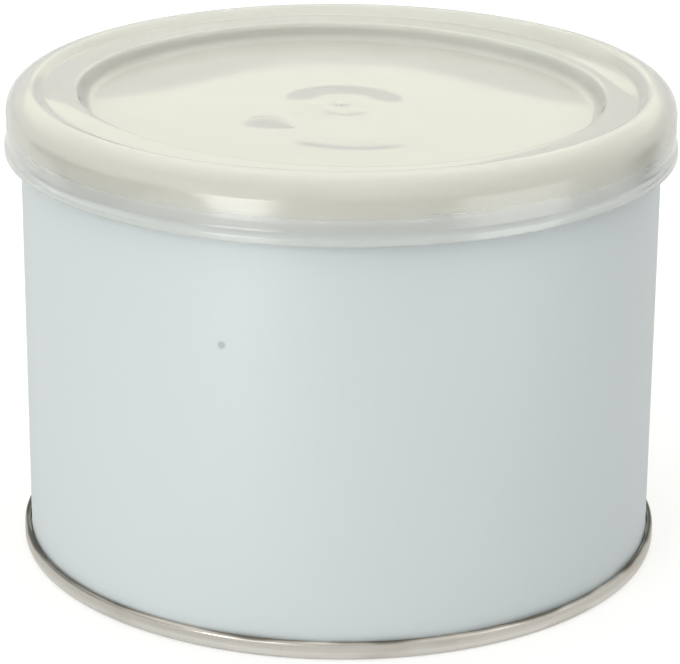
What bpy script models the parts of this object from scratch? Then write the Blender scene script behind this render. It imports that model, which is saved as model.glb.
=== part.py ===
"""An empty white-coated tin can with a translucent press-on plastic lid.

Every piece is a turned profile about the can's upright axis (+Z), so each one is
drawn as an outline in radius and height and then spun. The can stands on Z = 0.
"""

from math import acos, atan2, ceil, cos, pi, radians, sin, tan

import bmesh
import bpy
from mathutils import Vector

# Driving dimensions, in metres.
BODY_RADIUS = 0.0495  # outside of the white cylinder
BODY_WALL = 0.0006
OVERALL_HEIGHT = 0.0743
CLEARANCE = 0.0003  # between pieces that touch
SEGMENTS = 64
ARC_SAG = 0.00006  # the most that a facet of a rounded corner stands off its arc

# Bottom end: sheet metal rolled round the body's lower edge as a seam.
END_SHEET = 0.0006
SEAM_RADIUS = 0.0506
SEAM_HEIGHT = 0.0030
COUNTERSINK = 0.0042  # from the seam's foot up to the panel
END_BEAD_RADIUS = 0.0390
END_BEAD_STEP = 0.0009
END_BEAD_SLOPE = 0.0012  # how far the bead's sloping side reaches inwards

# Rim ring: bare metal curled over the body's upper edge.
RING_SHEET = 0.0006
RING_RADIUS = 0.0508
RING_HEIGHT = 0.0036
RING_CURL = 0.0016  # outer corner radius
RING_DROP = 0.0018  # from the underside of the lid's crest down to the ring
RING_PLAY = 0.0005  # between the body's upper edge and the inside of the curl

# Lid: one moulded sheet.
LID_SHEET = 0.0008
LID_RADIUS = 0.0518
LIP_RADIUS = 0.0520
LIP_HEIGHT = 0.0010
SKIRT_HEIGHT = 0.0098
SHOULDER = 0.0038  # radius of the rounded outer edge
CREST_RADIUS = 0.0473  # where the raised rim turns down to the land
FOOT_RADIUS = 0.0459
LAND_DROP = 0.0016  # the flat land lies this far under the crest
RECESS_RADIUS = 0.0410
RECESS_DEPTH = 0.0040  # from the crest down to the panel's edge
RECESS_SLOPE = 0.0025  # how far the recess wall leans inwards
DISC_RADIUS = 0.0096  # a low raised disc round the gate mark
DISC_SLOPE = 0.0040  # how far its edge slopes inwards
DISC_HEIGHT = 0.0002
GATE_RADIUS = 0.0012
GATE_HEIGHT = 0.0004
GRIP_BEAD = 0.0009  # holds the lid under the rim ring
GRIP_BEAD_HEIGHT = 0.0024  # above the skirt's lower edge


def material(name, colour, roughness, metallic=0.0, transmission=0.0):
    """A Principled material; the colour is linear RGB."""
    made = bpy.data.materials.new(name)
    made.use_nodes = True
    shader = made.node_tree.nodes["Principled BSDF"]
    shader.inputs["Base Color"].default_value = (*colour, 1.0)
    shader.inputs["Roughness"].default_value = roughness
    shader.inputs["Metallic"].default_value = metallic
    shader.inputs["Transmission Weight"].default_value = transmission
    made.diffuse_color = (*colour, 1.0)
    return made


def rounded(corners):
    """The outline through (radius, height, corner radius) points, its corners turned to arcs."""
    path = []
    for i, (x, z, fillet) in enumerate(corners):
        point = Vector((x, z))
        if fillet == 0 or i in (0, len(corners) - 1):
            path.append(point)
            continue
        back = (Vector(corners[i - 1][:2]) - point).normalized()
        on = (Vector(corners[i + 1][:2]) - point).normalized()
        opening = back.angle(on)
        if pi - opening < radians(1):
            path.append(point)
            continue
        reach = fillet / tan(opening / 2)
        start, end = point + back * reach, point + on * reach
        centre = point + (back + on).normalized() * (fillet / sin(opening / 2))
        first = atan2(start.y - centre.y, start.x - centre.x)
        turn = atan2(end.y - centre.y, end.x - centre.x) - first
        turn = (turn + pi) % (2 * pi) - pi
        steps = ceil(abs(turn) / (2 * acos(1 - ARC_SAG / fillet)))
        for step in range(steps + 1):
            angle = first + turn * step / steps
            path.append(centre + fillet * Vector((cos(angle), sin(angle))))
    return path


def beside(path, distance):
    """The path moved sideways to its right by the distance, mitred at each point."""
    moved = []
    for i, point in enumerate(path):
        before = (point - path[i - 1]).normalized() if i > 0 else None
        after = (path[i + 1] - point).normalized() if i < len(path) - 1 else None
        before, after = before or after, after or before
        along = (before + after).normalized()
        across = Vector((along.y, -along.x))
        moved.append(point + across * distance / max(0.5, along.dot(before)))
    return moved


def sheet(corners, thickness):
    """A closed outline: the rounded path, and the same path one thickness to its right."""
    path = rounded(corners)
    return path + list(reversed(beside(path, thickness)))


def turned(name, outline, made_of):
    """The closed outline spun about Z as one object."""
    shape = bmesh.new()
    ring = [shape.verts.new((max(p.x, 0.0), 0.0, p.y)) for p in outline]
    edges = [shape.edges.new(pair) for pair in zip(ring, ring[1:] + ring[:1])]
    bmesh.ops.spin(
        shape, geom=ring + edges, axis=(0, 0, 1), cent=(0, 0, 0), steps=SEGMENTS, angle=2 * pi
    )
    bmesh.ops.remove_doubles(shape, verts=shape.verts, dist=1e-6)
    bmesh.ops.dissolve_degenerate(shape, edges=shape.edges, dist=1e-6)
    inside = [edge for edge in shape.edges if not edge.link_faces]
    bmesh.ops.delete(shape, geom=inside, context="EDGES")
    bmesh.ops.recalc_face_normals(shape, faces=shape.faces)
    mesh = bpy.data.meshes.new(name)
    shape.to_mesh(mesh)
    shape.free()
    mesh.shade_smooth()
    mesh.set_sharp_from_angle(angle=radians(40))
    mesh.materials.append(made_of)
    placed = bpy.data.objects.new(name, mesh)
    bpy.context.collection.objects.link(placed)
    return placed


def can_body(low, high):
    """The white cylinder, open at both ends."""
    inner = BODY_RADIUS - BODY_WALL
    outline = [(inner, low), (BODY_RADIUS, low), (BODY_RADIUS, high), (inner, high)]
    return [Vector(point) for point in outline]


def bottom_end():
    """The panel, the wall round it, and the seam that wraps the body's lower edge."""
    wall = BODY_RADIUS - BODY_WALL - CLEARANCE - END_SHEET
    panel = COUNTERSINK
    bead = panel - END_BEAD_STEP
    top = BODY_RADIUS + CLEARANCE + END_SHEET
    corners = [
        (0.0, bead, 0),
        (END_BEAD_RADIUS - END_BEAD_SLOPE, bead, 0.0008),
        (END_BEAD_RADIUS, panel, 0.0008),
        (wall, panel, 0.0009),
        (wall, 0.0, 0.0005),
        (SEAM_RADIUS, 0.0, 0.0008),
        (SEAM_RADIUS, SEAM_HEIGHT - 0.0006, 0.0006),
        (top, SEAM_HEIGHT, 0),
    ]
    return sheet(corners, -END_SHEET)


def rim_ring(high):
    """The curl over the body's upper edge."""
    inner = BODY_RADIUS - BODY_WALL - CLEARANCE - RING_SHEET
    corners = [
        (RING_RADIUS, high - RING_HEIGHT, 0),
        (RING_RADIUS, high, RING_CURL),
        (inner, high, RING_CURL * 0.7),
        (inner, high - RING_HEIGHT, 0),
    ]
    return sheet(corners, -RING_SHEET)


def lid():
    """The press-on lid: lip, skirt, raised rim, land, recess, panel, low disc and gate."""
    crest = OVERALL_HEIGHT
    lower = crest - SKIRT_HEIGHT
    land = crest - LAND_DROP
    edge = crest - RECESS_DEPTH
    disc = edge + DISC_HEIGHT
    recess = RECESS_RADIUS - RECESS_SLOPE
    outside = rounded([
        (LIP_RADIUS, lower, 0),
        (LIP_RADIUS, lower + LIP_HEIGHT, 0),
        (LID_RADIUS, lower + LIP_HEIGHT + 0.0003, 0),
        (LID_RADIUS, crest, SHOULDER),
        (CREST_RADIUS, crest, 0.0012),
        (FOOT_RADIUS, land, 0.0005),
        (RECESS_RADIUS, land, 0.0008),
        (recess, edge, 0.0012),
        (DISC_RADIUS, edge, 0),
        (DISC_RADIUS - DISC_SLOPE, disc, 0),
        (GATE_RADIUS, disc, 0),
        (GATE_RADIUS, disc + GATE_HEIGHT, 0),
        (0.0, disc + GATE_HEIGHT, 0),
    ])
    skirt_inside = LID_RADIUS - LID_SHEET
    grip = lower + GRIP_BEAD_HEIGHT
    inside = rounded([
        (0.0, edge - LID_SHEET, 0),
        (recess + LID_SHEET * 0.4, edge - LID_SHEET, 0.0016),
        (RECESS_RADIUS + LID_SHEET * 0.4, land - LID_SHEET, 0.0004),
        (FOOT_RADIUS + LID_SHEET * 0.4, land - LID_SHEET, 0.0008),
        (CREST_RADIUS + LID_SHEET * 0.4, crest - LID_SHEET, 0.0006),
        (skirt_inside, crest - LID_SHEET, SHOULDER - LID_SHEET),
        (skirt_inside, grip + 0.0012, 0),
        (skirt_inside - GRIP_BEAD, grip + 0.0003, 0),
        (skirt_inside - GRIP_BEAD, grip - 0.0003, 0),
        (skirt_inside, grip - 0.0014, 0),
        (skirt_inside, lower, 0),
    ])
    return outside + inside


def build():
    for old in list(bpy.data.objects):
        bpy.data.objects.remove(old, do_unlink=True)
    ring_top = OVERALL_HEIGHT - LID_SHEET - RING_DROP
    body_low = END_SHEET + CLEARANCE
    body_high = ring_top - RING_SHEET - RING_PLAY
    white = material("white_enamel", (0.69, 0.72, 0.76), 0.42)
    tin = material("bare_tinplate", (0.62, 0.60, 0.56), 0.3, metallic=1.0)
    ring_tin = material("rim_tinplate", (0.60, 0.58, 0.53), 0.35, metallic=1.0)
    plastic = material("milky_plastic", (0.80, 0.80, 0.74), 0.25, transmission=0.35)
    can = bpy.data.objects.new("tin_can", None)
    bpy.context.collection.objects.link(can)
    pieces = [
        turned("can_body", can_body(body_low, body_high), white),
        turned("bottom_end", bottom_end(), tin),
        turned("rim_ring", rim_ring(ring_top), ring_tin),
        turned("lid", lid(), plastic),
    ]
    for piece in pieces:
        piece.parent = can


build()
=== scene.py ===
"""The looks of an empty white-coated tin can with a translucent press-on plastic lid.

Each piece is a turned profile about the can's axis (+Z), finer than the solid that it
replaces; the lid's thin sheet also gets the low relief that moulding leaves on its panel.
"""

from math import acos, atan2, ceil, cos, pi, radians, sin, tan

import bmesh
import bpy
import numpy as np
from mathutils import Matrix, Vector


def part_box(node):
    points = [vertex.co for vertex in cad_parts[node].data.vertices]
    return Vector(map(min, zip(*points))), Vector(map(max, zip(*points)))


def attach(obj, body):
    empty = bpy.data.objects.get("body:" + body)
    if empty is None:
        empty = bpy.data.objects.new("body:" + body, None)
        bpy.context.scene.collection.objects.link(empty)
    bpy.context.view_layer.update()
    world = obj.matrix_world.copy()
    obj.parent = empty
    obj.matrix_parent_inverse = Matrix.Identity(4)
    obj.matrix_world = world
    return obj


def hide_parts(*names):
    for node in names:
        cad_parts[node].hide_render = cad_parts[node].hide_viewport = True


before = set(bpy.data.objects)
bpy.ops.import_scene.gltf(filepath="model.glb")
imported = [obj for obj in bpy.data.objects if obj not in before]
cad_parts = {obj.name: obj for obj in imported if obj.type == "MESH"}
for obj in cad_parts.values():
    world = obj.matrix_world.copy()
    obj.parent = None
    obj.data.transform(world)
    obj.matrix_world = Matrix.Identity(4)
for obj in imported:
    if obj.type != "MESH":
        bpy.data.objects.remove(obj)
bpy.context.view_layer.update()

# How finely the profiles are turned; lengths are in metres.
SEGMENTS = 360
ARC_SAG = 0.000004  # the most that a facet of a rounded corner stands off its arc
BRACE = 0.00008  # from the end of a straight to the point that braces it
MITRE_LIMIT = 0.5  # keeps a sharp corner of a sheet from growing a spike
SHARP_ANGLE = radians(35)  # faces that meet at more than this are shaded apart

# Sizes read from the frame, in metres.
LIP_RADIUS, LID_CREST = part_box("lid")[1].x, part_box("lid")[1].z
LID_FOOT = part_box("lid")[0].z
BODY_RADIUS, BODY_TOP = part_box("can_body")[1].x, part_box("can_body")[1].z
SEAM_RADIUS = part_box("bottom_end")[1].x
END_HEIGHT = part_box("bottom_end")[1].z
RING_RADIUS, RING_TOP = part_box("rim_ring")[1].x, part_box("rim_ring")[1].z
RING_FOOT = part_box("rim_ring")[0].z

# The can's own sheet sizes, in metres.
BODY_WALL = 0.0006
TIN_SHEET = 0.0006
CLEARANCE = 0.0003
SEAM_HEIGHT = 0.0030
END_BEAD_RADIUS = 0.0390
END_BEAD_STEP = 0.0009
END_BEAD_SLOPE = 0.0012
SEAM_FALL = 0.0005  # the seam's top falls this far towards its outside
RING_CURL = 0.0016
RING_INNER_CURL = RING_CURL * 0.7

# The lid's profile, in metres: drops and depths from its crest, heights from its lower edge.
LID_SHEET = 0.0007
LIP_HEIGHT = 0.0010
LIP_STEP = 0.00035  # the lip stands this far out from the skirt
LIP_FLARE = 0.0008  # the skirt turns out to the lip over this height
SKIRT_RADIUS = LIP_RADIUS - LIP_STEP
SHOULDER = 0.0038
CREST_RADIUS = 0.0473
FOOT_RADIUS = 0.0459
LAND_DROP = 0.0013
RECESS_RADIUS = 0.0408
RECESS_DEPTH = 0.0040
RECESS_SLOPE = 0.0012
PANEL_RADIUS = RECESS_RADIUS - RECESS_SLOPE
PANEL_DISH = 0.00005
PANEL_STEP = 0.0003  # between the rings of points on the panel,
PANEL_MARGIN = 0.0018  # the outermost of which lies this far inside the panel's edge
UNDER_SHIFT = LID_SHEET * 0.4  # the sheet's lower corners lie this far outside the upper ones
GRIP_BEAD = 0.0009
GRIP_BEAD_HEIGHT = 0.0024
GRIP_FLAT = 0.0003  # half the height of the bead's face
GRIP_ABOVE, GRIP_BELOW = 0.0012, 0.0014  # from the bead's middle to where its slopes end

# How the thin sheet inside the rim has settled after moulding.
LEAN = 0.013  # falls from left to right
SAG_SLOPE = 0.0040  # both sides of the panel fall backwards
LAND_SLOPE = 0.0090  # and so do both sides of the land round it,
LAND_TWIST = 0.045  # the left one more than the right
SAG_START, SAG_FULL = 0.006, 0.038  # from this far off the middle line to this far
LEAN_ENDS = FOOT_RADIUS - 0.0004, CREST_RADIUS  # the lean fades out between these radii,
SAG_ENDS = FOOT_RADIUS - 0.0002, CREST_RADIUS - 0.0003  # and the sag between these

# Round relief that the mould leaves on the panel: centre x and y, radius, how far the edge
# slopes inwards, height.
ROUND_MARKS = (
    (0.0004, 0.0016, 0.0101, 0.0056, 0.00013),  # a low disc
    (0.0, 0.0005, 0.0015, 0.0014, -0.00012),  # the gate's pit
)
# Shallow arched grooves: the centre of the arch, x and y, radius, half the width, direction of
# the middle in degrees from +X, half the angle that they take, depth.
GROOVES = (
    (0.0006, -0.0018, 0.0024, 0.0022, 262, 100, 0.00010),
    (0.0018, -0.0078, 0.0135, 0.0028, 267, 38, 0.00013),
)
GROOVE_FULL = 0.6  # the share of that angle over which a groove keeps its depth
# A short dent: centre x and y, half its length and half its width, direction in degrees from
# +X, depth.
DENT = (-0.0107, -0.0106, 0.0042, 0.0030, -33, 0.00020)
DENT_FULL, DENT_TAPER = 1.2, 0.6  # its width and depth at the middle, and their loss to one end
DENT_DEEPEST = 0.7  # where it is deepest: the share of the way from its middle to its far edge

# The photograph's camera: the lens in pixels, and where it stands in metres.
PHOTO_WIDTH = 680
FOCAL_PIXELS = 3049
SENSOR_WIDTH = 36.0  # millimetres
CAMERA_PLACE = (0.0, -0.4544, 0.1996)
CAMERA_DOWN = radians(20.14)
CAMERA_ROLL = 0.007

# Marks that run round the axis: how many lumps of noise they have to a radian round it, and to
# a metre up and outwards.
TURNING_LINES = 1.2, 5200.0, 5200.0
DULL_PATCHES = 3.2, 260.0, 260.0
UNEVEN_EDGE = 2.6, 0.0, 0.0
DRAWN_LINES = 1.6, 1400.0, 0.0

# Enamel; these colours and the next are linear RGB.
ENAMEL_COLOURS = (0.602, 0.662, 0.685), (0.625, 0.680, 0.697)
ENAMEL_GRAIN = (0.56, 0.59, 0.63)
CLOUD_SIZE, GRAIN_SIZE, PEEL_SIZE = 0.022, 0.0011, 0.0016
PEEL_DEPTH = 0.000012
SPECK_COLOUR = (0.36, 0.37, 0.36)
SPECK_PLACE = (-0.01693, -0.04652, 0.0479)
SPECK_RADIUS = 0.0005
SPECK_RAGGED = 0.0004  # how far the grain draws its edge in

# Tinplate: bright, dull and stained colour, the last also the painted shade above a seam's foot,
# and the lowest roughness.
SEAM_TIN = (0.88, 0.86, 0.82), (0.78, 0.76, 0.72), (0.55, 0.51, 0.45), 0.26
RIM_TIN = (0.80, 0.77, 0.69), (0.70, 0.67, 0.58), (0.55, 0.50, 0.41), 0.12
INNER_TIN = (0.93, 0.90, 0.74), (0.88, 0.85, 0.68), (0.80, 0.74, 0.55), 0.50
LINE_DEPTH = 0.00001
# The painted shade in a seam's joint: its near-black colour, where it starts, and how far up it
# becomes full.
JOINT_SHADE_COLOUR = (0.045, 0.040, 0.030)
JOINT_SHADE_DEPTHS = 0.00035, 0.0008  # the painted shade under a joint starts between these depths
JOINT_SHADE_FADE = 0.0006  # and is full this much higher
FOOT_REFLECTION_HEIGHTS = 0.3, 0.65  # the painted shade above a seam's foot, which leaves a painted floor reflection at the foot, sets in between these shares of the joint's height

# Plastic: outside the radius it turns clearer and cooler, as the height falls between the two.
THIN_RADIUS = 0.0507
THIN_EDGE = 0.0003
THICK_HEIGHT, THIN_HEIGHT = 0.0700, 0.0670
CREAM_COLOURS = (0.93, 0.93, 0.87), (0.95, 0.95, 0.89)
COOL_COLOURS = (0.925, 0.955, 0.94), (0.94, 0.965, 0.95)
MILK_SIZE = 0.015
DRAWN_DEPTH = 0.000004

# The floor.
FLOOR_HALF = 4.0
FLOOR_COLOUR = (0.58, 0.58, 0.575)
FLOOR_LIFT = 0.45  # brings the floor that the camera sees up to the white behind it
FLOOR_SHEEN = 0.14  # and this much for the floor that the gloss shows

# The sky. A direction is measured by its x, y and z, each from -1 to 1.
SKY_LOW = (0.72, 0.72, 0.725)
SKY_HIGH = (1.30, 1.30, 1.12), (1.12, 1.12, 1.10)  # from low in the bright part to its top
SKY_TILT = 0.25, 0.02  # skyward() counts this much of the way back, and of the way right
SKY_EDGE = 0.5049  # where the bright part of the sky starts, as skyward() measures it
SKY_EDGE_SOFT = 0.0006
OVERHEAD = (1.7, 1.7, 1.6)  # the light above, as the gloss shows it
OVERHEAD_FROM = 0.62, 0.80  # it sets in between these heights
DARK_FRONT = (0.45, 0.45, 0.45)  # the dark behind the camera, as the gloss shows it
DARK_FORWARD = -0.8, -0.3  # it fades out between these, going backwards,
DARK_UNDER = 0.45, 0.62  # and between these, going up

# The key light, and the soft lights in the sky: azimuth from the front and height in degrees,
# and for the soft lights half the width, half the height and the colour.
KEY_AZIMUTH, KEY_HEIGHT = -36.5, 17
KEY_DISTANCE, KEY_WIDTH, KEY_TALL = 0.8, 0.47, 0.55
KEY_COLOUR = (1.0, 0.99, 0.95)
KEY_AIM = (0.0, 0.0, 0.04)  # the place that it looks at
GLOWS = (
    (KEY_AZIMUTH, KEY_HEIGHT, 17, 17, (3.0, 3.0, 2.9)),
    (100, 12, 16, 16, (1.5, 1.5, 1.45)),
)
GLOW_SOFT_SIDE, GLOW_SOFT_UP = 7, 9  # degrees either way from a glow's edge

# Low cards, bright and dark: azimuth in degrees, distance, width, height, brightness.
LOW_CARDS = (
    (-30.5, 0.255, 0.156, 0.066, 5.8),
    (55, 0.230, 0.220, 0.066, 2.6),
    (-84, 0.240, 0.340, 0.066, 0.0),
    (113, 0.239, 0.120, 0.066, 0.0),
)
CARD_EDGE = 0.62  # the brightness of a card's edges, close to the floor's
CARD_COLOUR = (1.0, 1.0, 0.97)
CARD_FADE_SIDE, CARD_FADE_TOP, CARD_FADE_FOOT = 0.06, 0.03, 0.003


# ---- Turned shapes -------------------------------------------------------------------


def rounded(corners):
    """The outline through (radius, height, corner radius) points, its corners turned to arcs."""
    path = []
    for i, (x, z, fillet) in enumerate(corners):
        point = Vector((x, z))
        if fillet == 0 or i in (0, len(corners) - 1):
            path.append(point)
            continue
        back = (Vector(corners[i - 1][:2]) - point).normalized()
        on = (Vector(corners[i + 1][:2]) - point).normalized()
        opening = back.angle(on)
        if pi - opening < radians(1):
            path.append(point)
            continue
        reach = fillet / tan(opening / 2)
        start, end = point + back * reach, point + on * reach
        centre = point + (back + on).normalized() * (fillet / sin(opening / 2))
        first = atan2(start.y - centre.y, start.x - centre.x)
        turn = atan2(end.y - centre.y, end.x - centre.x) - first
        turn = (turn + pi) % (2 * pi) - pi
        steps = ceil(abs(turn) / (2 * acos(1 - ARC_SAG / fillet)))
        for step in range(steps + 1):
            angle = first + turn * step / steps
            path.append(centre + fillet * Vector((cos(angle), sin(angle))))
    return path


def beside(path, distance):
    """The path moved sideways to its right by the distance, mitred at each point."""
    moved = []
    for i, point in enumerate(path):
        before = (point - path[i - 1]).normalized() if i > 0 else None
        after = (path[i + 1] - point).normalized() if i < len(path) - 1 else None
        before, after = before or after, after or before
        along = (before + after).normalized()
        across = Vector((along.y, -along.x))
        moved.append(point + across * distance / max(MITRE_LIMIT, along.dot(before)))
    return moved


def tin_sheet(corners):
    """A closed outline: the rounded path, and the same path one tin sheet to its left."""
    path = rounded(corners)
    return path + list(reversed(beside(path, -TIN_SHEET)))


def braced(outline):
    """The closed outline with a point close to both ends of each straight, to shade it flat."""
    made = []
    for start, end in zip(outline, outline[1:] + outline[:1]):
        length = (end - start).length
        made.append(start)
        if length > BRACE * 4:
            made += [start.lerp(end, BRACE / length), end.lerp(start, BRACE / length)]
    return made


def turned_faces(radii):
    """Faces between rings of points at these radii; a ring on the axis is a single point."""
    count = len(radii)
    index = np.arange(count * SEGMENTS).reshape(count, SEGMENTS).tolist()
    faces = []
    for i in range(count):
        j = (i + 1) % count
        first_on_axis, next_on_axis = radii[i] == 0, radii[j] == 0
        if first_on_axis and next_on_axis:
            continue
        for k in range(SEGMENTS):
            m = (k + 1) % SEGMENTS
            if first_on_axis:
                faces.append((index[i][0], index[j][m], index[j][k]))
            elif next_on_axis:
                faces.append((index[i][k], index[i][m], index[j][0]))
            else:
                faces.append((index[i][k], index[i][m], index[j][m], index[j][k]))
    return faces


def tidy_mesh(mesh):
    """Drops the unused copies of points on the axis, turns the faces out and shades them."""
    shape = bmesh.new()
    shape.from_mesh(mesh)
    loose = [vert for vert in shape.verts if not vert.link_faces]
    bmesh.ops.delete(shape, geom=loose, context="VERTS")
    bmesh.ops.recalc_face_normals(shape, faces=shape.faces)
    shape.to_mesh(mesh)
    shape.free()
    mesh.shade_smooth()
    mesh.set_sharp_from_angle(angle=SHARP_ANGLE)


def linked(name, data):
    """A new object with the data, linked to the scene."""
    made = bpy.data.objects.new(name, data)
    bpy.context.scene.collection.objects.link(made)
    return made


def turned(name, outline, shape=None):
    """A closed (radius, height) outline turned about Z; shape(x, y, z) may move its heights."""
    rings = np.array([(max(p.x, 0.0), p.y) for p in braced(outline)])
    angles = np.arange(SEGMENTS) * 2 * pi / SEGMENTS
    x = np.outer(rings[:, 0], np.cos(angles))
    y = np.outer(rings[:, 0], np.sin(angles))
    z = np.repeat(rings[:, 1:], SEGMENTS, axis=1)
    if shape:
        z = shape(x, y, z)
    points = np.stack([x, y, z], axis=-1).reshape(-1, 3)
    mesh = bpy.data.meshes.new(name)
    mesh.from_pydata(points.tolist(), [], turned_faces(rings[:, 0]))
    mesh.update()
    piece = linked(name, mesh)
    tidy_mesh(mesh)
    return piece


# ---- Node materials ------------------------------------------------------------------


class Nodes:
    """Short calls that add nodes to one node tree and link them."""

    def __init__(self, tree):
        self.tree = tree

    def feed(self, socket, value):
        """Links the socket to another one, or sets it to a number or colour."""
        if isinstance(value, bpy.types.NodeSocket):
            self.tree.links.new(value, socket)
        elif value is not None:
            socket.default_value = value

    def add(self, kind, **inputs):
        """A node of the kind, with its inputs fed by name."""
        node = self.tree.nodes.new(kind)
        for name, value in inputs.items():
            self.feed(node.inputs[name], value)
        return node

    def maths(self, operation, a, b=None, c=None):
        """The result of the operation on one to three values."""
        node = self.tree.nodes.new("ShaderNodeMath")
        node.operation = operation
        for socket, value in zip(node.inputs, (a, b, c)):
            self.feed(socket, value)
        return node.outputs[0]

    def distance(self, a, b):
        """The distance between two places."""
        node = self.tree.nodes.new("ShaderNodeVectorMath")
        node.operation = "DISTANCE"
        for socket, value in zip(node.inputs, (a, b)):
            self.feed(socket, value)
        return node.outputs["Value"]

    def place(self):
        """Object coordinates, in metres."""
        return self.add("ShaderNodeTexCoord").outputs["Object"]

    def split(self, vector):
        """The x, y and z of a vector."""
        return self.add("ShaderNodeSeparateXYZ", Vector=vector).outputs[:3]

    def span(self, value, low, high, to_low=0.0, to_high=1.0):
        """The value from low..high mapped smoothly to to_low..to_high, held at both ends."""
        node = self.tree.nodes.new("ShaderNodeMapRange")
        node.interpolation_type = "SMOOTHSTEP"
        for socket, given in zip(node.inputs, (value, low, high, to_low, to_high)):
            self.feed(socket, given)
        return node.outputs[0]

    def noise(self, vector, size, detail):
        """Noise whose largest lumps are about the given size in the vector's units."""
        node = self.add("ShaderNodeTexNoise", Vector=vector, Scale=1 / size, Detail=detail)
        return node.outputs["Fac"]

    def mix(self, share, a, b):
        """Colour a to colour b by the share."""
        node = self.tree.nodes.new("ShaderNodeMix")
        node.data_type = "RGBA"
        for name, value in (("Factor_Float", share), ("A_Color", a), ("B_Color", b)):
            socket = next(s for s in node.inputs if s.identifier == name)
            self.feed(socket, (*value, 1.0) if isinstance(value, tuple) else value)
        return next(s for s in node.outputs if s.identifier == "Result_Color")

    def bump(self, height, distance):
        """A normal for a height of 0..1 that stands for the distance in metres."""
        return self.add("ShaderNodeBump", Height=height, Distance=distance).outputs["Normal"]


def principled(name):
    """A new Principled material, its shader's inputs, and a helper for its nodes."""
    made = bpy.data.materials.new(name)
    made.use_nodes = True
    return made, made.node_tree.nodes["Principled BSDF"].inputs, Nodes(made.node_tree)


def across_axis(nodes):
    """The distance from the can's axis, in metres."""
    x, y, _ = nodes.split(nodes.place())
    squares = nodes.maths("ADD", nodes.maths("MULTIPLY", x, x), nodes.maths("MULTIPLY", y, y))
    return nodes.maths("SQRT", squares)


def turned_place(nodes, stretch):
    """Coordinates for marks that run round the axis: angle, height and radius, each stretched."""
    x, y, z = nodes.split(nodes.place())
    values = nodes.maths("ARCTAN2", y, x), z, across_axis(nodes)
    joined = nodes.add("ShaderNodeCombineXYZ")
    for socket, value, scale in zip(joined.inputs, values, stretch):
        nodes.feed(socket, nodes.maths("MULTIPLY", value, scale))
    return joined.outputs[0]


def white_enamel():
    """Satin bluish-white coating over rolled tinplate, with faint clouding and one speck."""
    made, shader, nodes = principled("white_enamel")
    place = nodes.place()
    clouds = nodes.noise(place, CLOUD_SIZE, detail=2)
    grain = nodes.noise(place, GRAIN_SIZE, detail=2)
    colour = nodes.mix(clouds, *ENAMEL_COLOURS)
    colour = nodes.mix(nodes.span(grain, 0.35, 0.75, 0.0, 0.06), colour, ENAMEL_GRAIN)
    away = nodes.distance(place, SPECK_PLACE)
    rough_edge = nodes.maths("ADD", away, nodes.maths("MULTIPLY", grain, SPECK_RAGGED))
    speck = nodes.span(rough_edge, SPECK_RADIUS, SPECK_RADIUS * 2, 0.7, 0.0)
    nodes.feed(shader["Base Color"], nodes.mix(speck, colour, SPECK_COLOUR))
    nodes.feed(shader["Roughness"], nodes.span(clouds, 0.3, 0.7, 0.40, 0.52))
    peel = nodes.noise(place, PEEL_SIZE, detail=1)
    nodes.feed(shader["Normal"], nodes.bump(peel, PEEL_DEPTH))
    shader["Coat Weight"].default_value = 0.15
    shader["Coat Roughness"].default_value = 0.35
    return made


def painted_seam_shade(nodes, joint):
    """Painted light on a seam: a share that darkens the metal above its foot, leaving a painted
    floor reflection at the foot, and a share of painted shade under the joint.
    """
    height = nodes.split(nodes.place())[2]
    low, high = (joint * share for share in FOOT_REFLECTION_HEIGHTS)
    shallow, deep = (joint - depth for depth in JOINT_SHADE_DEPTHS)
    uneven = nodes.noise(turned_place(nodes, UNEVEN_EDGE), 1.0, detail=2)
    start = nodes.span(uneven, 0.35, 0.65, shallow, deep)
    joint_shade_share = nodes.span(height, start, nodes.maths("ADD", start, JOINT_SHADE_FADE))
    return nodes.span(height, low, high, 0.0, 0.5), joint_shade_share


def tinplate(name, bright, dull, stain_and_shade, smoothest, joint=None):
    """Bare tinplate: lines round the axis, dull patches and, under a joint, a painted floor
    reflection at the foot and painted shade in the joint.
    """
    made, shader, nodes = principled(name)
    lines = nodes.noise(turned_place(nodes, TURNING_LINES), 1.0, detail=3)
    patches = nodes.noise(turned_place(nodes, DULL_PATCHES), 1.0, detail=3)
    colour = nodes.mix(nodes.span(lines, 0.3, 0.7), dull, bright)
    colour = nodes.mix(nodes.span(patches, 0.50, 0.72, 0.0, 0.55), colour, stain_and_shade)
    rough = nodes.span(patches, 0.35, 0.75, smoothest, smoothest + 0.24)
    if joint:
        # Under a joint: the stained colour above the foot paints the floor's reflection at the
        # foot, and the near-black colour paints shade in the joint.
        foot_reflection_share, joint_shade_share = painted_seam_shade(nodes, joint)
        colour = nodes.mix(foot_reflection_share, colour, stain_and_shade)
        colour = nodes.mix(nodes.maths("MULTIPLY", joint_shade_share, 0.85), colour, JOINT_SHADE_COLOUR)
        rough = nodes.maths("ADD", rough, nodes.maths("MULTIPLY", joint_shade_share, 0.3))
    nodes.feed(shader["Base Color"], colour)
    nodes.feed(shader["Roughness"], rough)
    nodes.feed(shader["Normal"], nodes.bump(lines, LINE_DEPTH))
    shader["Metallic"].default_value = 1.0
    return made


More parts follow.
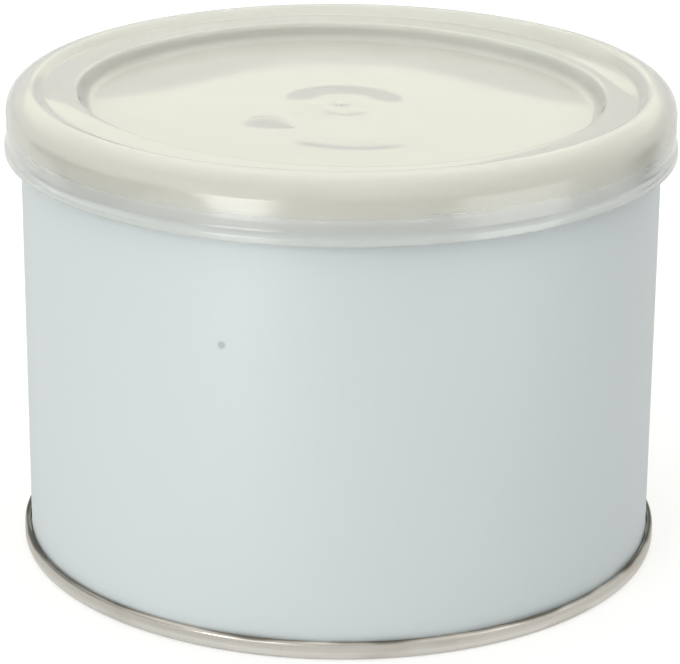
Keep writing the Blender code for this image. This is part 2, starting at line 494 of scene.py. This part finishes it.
def milky_plastic():
    """Milky polyethylene with a glossy face: creamy on top, thinner and cooler on the skirt."""
    made, shader, nodes = principled("milky_plastic")
    outer = nodes.span(across_axis(nodes), THIN_RADIUS - THIN_EDGE, THIN_RADIUS)
    height = nodes.split(nodes.place())[2]
    thin = nodes.maths("MULTIPLY", outer, nodes.span(height, THIN_HEIGHT, THICK_HEIGHT, 1.0, 0.0))
    clouds = nodes.noise(nodes.place(), MILK_SIZE, detail=2)
    drawn = nodes.noise(turned_place(nodes, DRAWN_LINES), 1.0, detail=2)
    cream, cool = nodes.mix(clouds, *CREAM_COLOURS), nodes.mix(clouds, *COOL_COLOURS)
    nodes.feed(shader["Base Color"], nodes.mix(thin, cream, cool))
    rough = nodes.span(drawn, 0.3, 0.7, 0.30, 0.38)
    smoother = nodes.span(thin, 0, 1, 1.0, 0.6)
    nodes.feed(shader["Roughness"], nodes.maths("MULTIPLY", rough, smoother))
    nodes.feed(shader["Normal"], nodes.bump(drawn, DRAWN_DEPTH))
    nodes.feed(shader["Transmission Weight"], nodes.span(thin, 0, 1, 0.62, 0.66))
    shader["IOR"].default_value = 1.45
    shader["Coat Weight"].default_value = 1.0
    shader["Coat Roughness"].default_value = 0.02
    return made


# ---- The can's pieces ----------------------------------------------------------------


def can_body():
    """The white cylinder; the faces of its inside take the second material."""
    low = TIN_SHEET + CLEARANCE
    inner = BODY_RADIUS - BODY_WALL
    corners = [(inner, low), (BODY_RADIUS, low), (BODY_RADIUS, BODY_TOP), (inner, BODY_TOP)]
    shell = turned("body_shell", [Vector(corner) for corner in corners])
    for face in shell.data.polygons:
        if Vector(face.center[:2]).length < BODY_RADIUS - BODY_WALL / 2:
            face.material_index = 1
    return shell


def bottom_end():
    """The panel, the wall round it, and the seam that wraps the body's lower edge."""
    wall = BODY_RADIUS - BODY_WALL - CLEARANCE - TIN_SHEET
    panel = END_HEIGHT - TIN_SHEET
    bead = panel - END_BEAD_STEP
    top = BODY_RADIUS + CLEARANCE * 0.5 + TIN_SHEET
    return turned("bottom_seam", tin_sheet([
        (0.0, bead, 0),
        (END_BEAD_RADIUS - END_BEAD_SLOPE, bead, 0.0008),
        (END_BEAD_RADIUS, panel, 0.0008),
        (wall, panel, 0.0009),
        (wall, 0.0, 0.0005),
        (SEAM_RADIUS, 0.0, 0.0008),
        (SEAM_RADIUS, SEAM_HEIGHT - SEAM_FALL, 0.0006),
        (top, SEAM_HEIGHT, 0),
    ]))


def rim_ring():
    """The bare curl over the body's upper edge."""
    inner = BODY_RADIUS - BODY_WALL - CLEARANCE - TIN_SHEET
    return turned("rim_curl", tin_sheet([
        (RING_RADIUS, RING_FOOT, 0),
        (RING_RADIUS, RING_TOP, RING_CURL),
        (inner, RING_TOP, RING_INNER_CURL),
        (inner, RING_FOOT, 0),
    ]))


def panel_height(radius):
    """The dished panel's upper face, before the sheet settled."""
    middle = LID_CREST - RECESS_DEPTH - PANEL_DISH
    return middle + PANEL_DISH * (radius / PANEL_RADIUS) ** 2


def panel_rings():
    """The panel's rings of points, from its edge to the axis, close together for its relief."""
    outermost = PANEL_RADIUS - PANEL_MARGIN
    steps = ceil(outermost / PANEL_STEP)
    radii = [outermost * (1 - k / steps) for k in range(steps + 1)]
    return [(radius, panel_height(radius), 0) for radius in radii]


def lid_outside():
    """The lid's outer face, from the lip to the gate."""
    lip = LID_FOOT + LIP_HEIGHT
    land = LID_CREST - LAND_DROP
    edge = LID_CREST - RECESS_DEPTH
    return rounded([
        (LIP_RADIUS, LID_FOOT, 0),
        (LIP_RADIUS, lip, 0.0004),
        (SKIRT_RADIUS, lip + LIP_FLARE, 0.0008),
        (SKIRT_RADIUS, LID_CREST, SHOULDER),
        (CREST_RADIUS, LID_CREST, 0.0012),
        (FOOT_RADIUS, land, 0.0005),
        (RECESS_RADIUS, land, 0.0006),
        (PANEL_RADIUS, edge, 0.0016),
        *panel_rings(),
    ])


def lid_inside():
    """The lid's inner face, from the gate to the skirt's lower edge."""
    skirt = SKIRT_RADIUS - LID_SHEET
    grip = LID_FOOT + GRIP_BEAD_HEIGHT
    crest = LID_CREST - LID_SHEET
    land = LID_CREST - LAND_DROP - LID_SHEET
    edge = LID_CREST - RECESS_DEPTH - LID_SHEET
    return rounded([
        *((radius, z - LID_SHEET, 0) for radius, z, _ in reversed(panel_rings()[::3])),
        (PANEL_RADIUS + UNDER_SHIFT, edge, 0.0016),
        (RECESS_RADIUS + UNDER_SHIFT, land, 0.0004),
        (FOOT_RADIUS + UNDER_SHIFT, land, 0.0008),
        (CREST_RADIUS + UNDER_SHIFT, crest, 0.0004),
        (skirt, crest, SHOULDER - LID_SHEET),
        (skirt, grip + GRIP_ABOVE, 0.0004),
        (skirt - GRIP_BEAD, grip + GRIP_FLAT, 0.0003),
        (skirt - GRIP_BEAD, grip - GRIP_FLAT, 0.0003),
        (skirt, grip - GRIP_BELOW, 0.0004),
        (skirt, LID_FOOT, 0),
    ])


def smooth(value, start, full):
    """0 before start and 1 past full, with a smooth turn at both."""
    share = np.clip((value - start) / (full - start), 0.0, 1.0)
    return share * share * (3 - 2 * share)


def settled(x, y, radius):
    """How far the sheet inside the rim has moved up or down from a true turned shape."""
    lean = -LEAN * x * (1 - smooth(radius, *LEAN_ENDS))
    sides = smooth(np.abs(x), SAG_START, SAG_FULL)
    on_land = smooth(radius, PANEL_RADIUS, RECESS_RADIUS)
    slope = (SAG_SLOPE + (LAND_SLOPE - LAND_TWIST * x - SAG_SLOPE) * on_land) * sides
    return lean - slope * y * (1 - smooth(radius, *SAG_ENDS))


def round_marks(x, y):
    """The low disc and the gate's pit."""
    height = np.zeros_like(x)
    for centre_x, centre_y, reach, slope, rise in ROUND_MARKS:
        away = np.hypot(x - centre_x, y - centre_y)
        height = height + rise * (1 - smooth(away, reach - slope, reach))
    return height


def grooves(x, y):
    """The shallow arched grooves: a small one at the gate, and a long one in front of it."""
    height = np.zeros_like(x)
    for centre_x, centre_y, reach, width, towards, half, depth in GROOVES:
        aside = np.abs(np.hypot(x - centre_x, y - centre_y) - reach)
        around = np.degrees(np.arctan2(y - centre_y, x - centre_x)) % 360
        ends = 1 - smooth(np.abs(around - towards), half * GROOVE_FULL, half)
        height = height - depth * (1 - smooth(aside, 0, width)) * ends
    return height


def dent(x, y):
    """The short oblique dent: it narrows to one end, and is deepest close to its far edge."""
    centre_x, centre_y, half_length, half_width, towards, depth = DENT
    turn = radians(towards)
    along = ((x - centre_x) * cos(turn) + (y - centre_y) * sin(turn)) / half_length
    across = (y - centre_y) * cos(turn) - (x - centre_x) * sin(turn)
    oval = np.sqrt(np.clip(1 - along * along, 0.0001, 1.0))
    narrowing = (DENT_FULL - DENT_TAPER * along) * oval
    place = across / (half_width * narrowing)
    section = smooth(place, -1, DENT_DEEPEST) - smooth(place, DENT_DEEPEST, 1.0)
    return -depth * narrowing * section * (np.abs(along) < 1)


def lid_shape(x, y, z):
    """The lid's heights with the settling and the relief added."""
    radius = np.hypot(x, y)
    upper = z > panel_height(radius) - LID_SHEET / 2
    relief = round_marks(x, y) + grooves(x, y) + dent(x, y)
    return z + settled(x, y, radius) + np.where(upper, relief, 0.0)


def lid():
    """The press-on lid: lip, skirt, raised rim, land, recess and panel, one thin sheet."""
    return turned("press_lid", lid_outside() + lid_inside(), lid_shape)


# ---- Studio --------------------------------------------------------------------------


def camera():
    """The photograph's view: its lens, height, downward tilt and slight roll."""
    data = bpy.data.cameras.new("camera")
    data.sensor_fit = "HORIZONTAL"
    data.sensor_width = SENSOR_WIDTH
    data.lens = FOCAL_PIXELS / PHOTO_WIDTH * data.sensor_width
    data.clip_start, data.clip_end = 0.01, 50.0
    made = linked("camera", data)
    ahead = Vector((0.0, cos(CAMERA_DOWN), -sin(CAMERA_DOWN)))
    right = Vector((1.0, 0.0, 0.0))
    up = right.cross(ahead)
    rolled_right = right * cos(CAMERA_ROLL) + up * sin(CAMERA_ROLL)
    rolled_up = up * cos(CAMERA_ROLL) - right * sin(CAMERA_ROLL)
    turn = Matrix((rolled_right, rolled_up, -ahead)).transposed()
    made.matrix_world = Matrix.Translation(CAMERA_PLACE) @ turn.to_4x4()
    bpy.context.scene.camera = made


def key_light():
    """The area light in front at the left; the gloss and the camera don't see it."""
    data = bpy.data.lights.new("key", "AREA")
    data.shape = "RECTANGLE"
    data.size, data.size_y = KEY_WIDTH, KEY_TALL
    data.energy = pi * KEY_WIDTH * KEY_TALL  # watts, for a radiance of 1
    data.color = KEY_COLOUR
    made = linked("key", data)
    azimuth, height = radians(KEY_AZIMUTH), radians(KEY_HEIGHT)
    out = Vector((sin(azimuth) * cos(height), -cos(azimuth) * cos(height), sin(height)))
    made.location = Vector(KEY_AIM) + out * KEY_DISTANCE
    made.rotation_mode = "QUATERNION"
    made.rotation_quaternion = out.to_track_quat("Z", "Y")
    made.visible_camera = made.visible_glossy = False


def flat(name, corners):
    """A new object with a single face through the four corners."""
    mesh = bpy.data.meshes.new(name)
    mesh.from_pydata(corners, [], [(0, 1, 2, 3)])
    return linked(name, mesh)


def floor():
    """A plain pale floor."""
    half = FLOOR_HALF
    corners = [(-half, -half, 0), (half, -half, 0), (half, half, 0), (-half, half, 0)]
    ground = flat("floor", corners)
    made, shader, nodes = principled("pale_floor")
    shader["Base Color"].default_value = (*FLOOR_COLOUR, 1.0)
    shader["Roughness"].default_value = 0.9
    shader["Specular IOR Level"].default_value = 0.1
    shader["Emission Color"].default_value = (1.0, 1.0, 1.0, 1.0)
    ray = nodes.add("ShaderNodeLightPath").outputs
    lift = nodes.maths("MULTIPLY", ray["Is Camera Ray"], FLOOR_LIFT)
    lift = nodes.maths("MULTIPLY_ADD", ray["Is Glossy Ray"], FLOOR_SHEEN, lift)
    nodes.feed(shader["Emission Strength"], lift)
    ground.data.materials.append(made)


def card_light(half, height, brightness):
    """A card's material: its brightness in the middle, and about the floor's at its edges."""
    made, shader, nodes = principled("card_light")
    shader["Base Color"].default_value = (0.0, 0.0, 0.0, 1.0)
    shader["Specular IOR Level"].default_value = 0.0
    shader["Emission Color"].default_value = (*CARD_COLOUR, 1.0)
    x, _, z = nodes.split(nodes.place())
    across = nodes.span(nodes.maths("ABSOLUTE", x), half - CARD_FADE_SIDE, half, 1.0, 0.0)
    top = nodes.span(z, height - CARD_FADE_TOP, height, 1.0, 0.0)
    up = nodes.maths("MULTIPLY", top, nodes.span(z, 0.0, CARD_FADE_FOOT))
    inside = nodes.maths("MULTIPLY", across, up)
    strength = nodes.maths("MULTIPLY_ADD", inside, brightness - CARD_EDGE, CARD_EDGE)
    nodes.feed(shader["Emission Strength"], strength)
    return made


def low_card(azimuth, distance, width, height, brightness):
    """A soft-edged card that stands on the floor and shows only in the gloss."""
    half = width / 2
    card = flat("low_card", [(-half, 0, 0), (half, 0, 0), (half, 0, height), (-half, 0, height)])
    turn = radians(azimuth)
    card.location = (sin(turn) * distance, -cos(turn) * distance, 0)
    card.rotation_euler.z = turn
    card.data.materials.append(card_light(half, height, brightness))
    card.visible_camera = card.visible_shadow = False
    card.visible_diffuse = card.visible_transmission = False


def skyward(nodes, x, y, z):
    """How high a direction points, where the bright part comes lower down at the back."""
    back, right = SKY_TILT
    tilted = nodes.maths("MULTIPLY_ADD", y, back, z)
    return nodes.maths("MULTIPLY_ADD", x, right, tilted)


def glow(nodes, x, y, z, azimuth, height, wide, tall):
    """1 in the middle of a light's place in the sky, fading softly round it."""
    turned_to = nodes.maths("ARCTAN2", x, nodes.maths("MULTIPLY", y, -1.0))
    aside = nodes.maths("ABSOLUTE", nodes.maths("SUBTRACT", turned_to, radians(azimuth)))
    above = nodes.maths("SUBTRACT", nodes.maths("ARCSINE", z), radians(height))
    above = nodes.maths("ABSOLUTE", above)
    narrow, broad = radians(wide - GLOW_SOFT_SIDE), radians(wide + GLOW_SOFT_SIDE)
    low, high = radians(tall - GLOW_SOFT_UP), radians(tall + GLOW_SOFT_UP)
    across = nodes.span(aside, narrow, broad, 1.0, 0.0)
    return nodes.maths("MULTIPLY", across, nodes.span(above, low, high, 1.0, 0.0))


def sky():
    """A soft studio surround, bright overhead and behind; the camera sees it plain white."""
    world = bpy.data.worlds.new("studio")
    bpy.context.scene.world = world
    world.use_nodes = True
    nodes = Nodes(world.node_tree)
    x, y, z = nodes.split(nodes.add("ShaderNodeTexCoord").outputs["Generated"])
    high = nodes.mix(nodes.span(z, 0.3, 0.9), *SKY_HIGH)
    start, full = SKY_EDGE - SKY_EDGE_SOFT, SKY_EDGE + SKY_EDGE_SOFT
    base = nodes.mix(nodes.span(skyward(nodes, x, y, z), start, full), SKY_LOW, high)
    forward = nodes.span(y, *DARK_FORWARD, 1.0, 0.0)
    front = nodes.maths("MULTIPLY", forward, nodes.span(z, *DARK_UNDER, 1.0, 0.0))
    gloss = nodes.mix(front, base, DARK_FRONT)
    gloss = nodes.mix(nodes.span(z, *OVERHEAD_FROM), gloss, OVERHEAD)
    lighting = base
    for *place, light in GLOWS:
        lighting = nodes.mix(glow(nodes, x, y, z, *place), lighting, light)
    ray = nodes.add("ShaderNodeLightPath").outputs
    seen = nodes.mix(ray["Is Glossy Ray"], lighting, gloss)
    seen = nodes.mix(ray["Is Camera Ray"], seen, (1.0, 1.0, 1.0))
    nodes.feed(world.node_tree.nodes["Background"].inputs["Color"], seen)


# ---- Making it -----------------------------------------------------------------------


def dress(piece, node, slot, *materials):
    """Gives a piece its materials and sets it in the place of the CAD node."""
    for material in materials:
        piece.data.materials.append(material)
    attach(piece, "root")
    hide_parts(node)


def build():
    """Dresses the can, and sets up the studio round it."""
    tin = tinplate("bare_tinplate", *SEAM_TIN, joint=SEAM_HEIGHT)
    rim = tinplate("rim_tinplate", *RIM_TIN)
    inside = tinplate("inner_tinplate", *INNER_TIN)
    dress(can_body(), "can_body", "white_enamel", white_enamel(), inside)
    dress(bottom_end(), "bottom_end", "bare_tinplate", tin)
    dress(rim_ring(), "rim_ring", "rim_tinplate", rim)
    dress(lid(), "lid", "milky_plastic", milky_plastic())
    floor()
    sky()
    for card in LOW_CARDS:
        low_card(*card)
    key_light()
    camera()
    bpy.context.scene.view_settings.view_transform = "Standard"


build()
